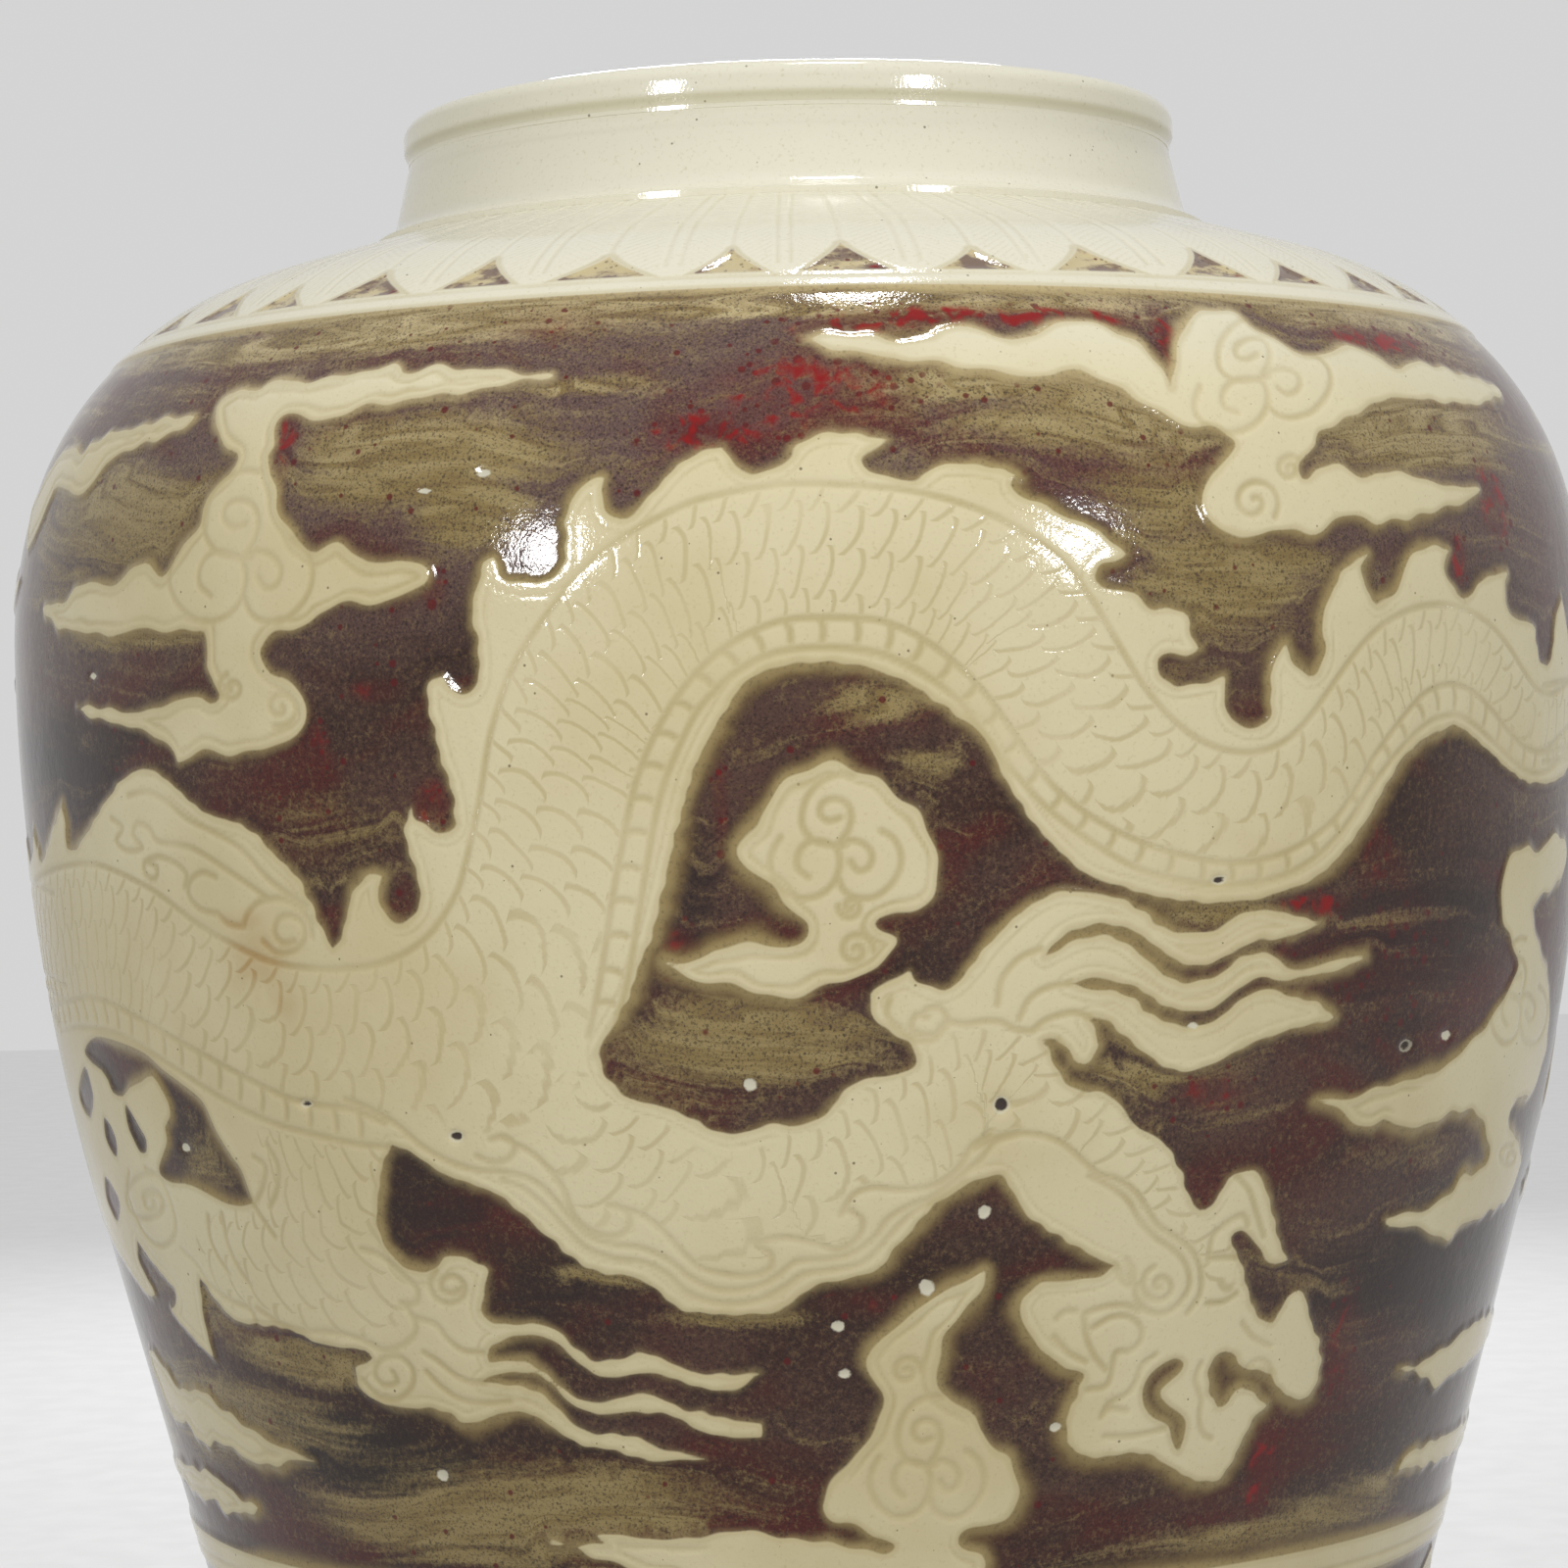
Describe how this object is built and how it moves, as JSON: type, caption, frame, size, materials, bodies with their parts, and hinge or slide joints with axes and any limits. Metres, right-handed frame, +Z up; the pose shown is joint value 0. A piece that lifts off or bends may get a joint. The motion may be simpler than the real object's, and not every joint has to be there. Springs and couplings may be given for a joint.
{
  "type": "martaban jar",
  "caption": "Large wide-mouthed storage jar with high round shoulders, a short neck, a rolled lip and a broad foot, under a carved and painted glaze.",
  "frame": {"origin": "centre of the foot's underside, on the floor", "axes": "+Z up along the jar's axis; -Y towards the side that the picture shows; +X to the right in the picture"},
  "size_m": [0.4799, 0.48, 0.548],
  "materials": {
    "foot_ring": "bare fired clay",
    "base_slab": "bare fired clay",
    "base_slip": "fired slip",
    "foot_slip": "fired slip",
    "lower_wall": "glossy glaze",
    "lower_joint_slip": "fired slip",
    "belly_wall": "glossy glaze",
    "belly_joint_slip": "fired slip",
    "shoulder_wall": "glossy glaze",
    "neck_slip": "fired slip",
    "neck_collar": "glossy glaze",
    "lip_slip": "fired slip",
    "lip_roll": "glossy glaze"
  },
  "bodies": {
    "root": {"foot_ring": "foot_ring", "base_slab": "base_slab", "base_slip": "base_slip", "foot_slip": "foot_slip", "lower_wall": "lower_wall", "lower_joint_slip": "lower_joint_slip", "belly_wall": "belly_wall", "belly_joint_slip": "belly_joint_slip", "shoulder_wall": "shoulder_wall", "neck_slip": "neck_slip", "neck_collar": "neck_collar", "lip_slip": "lip_slip", "lip_roll": "lip_roll"}
  },
  "joints": []
}
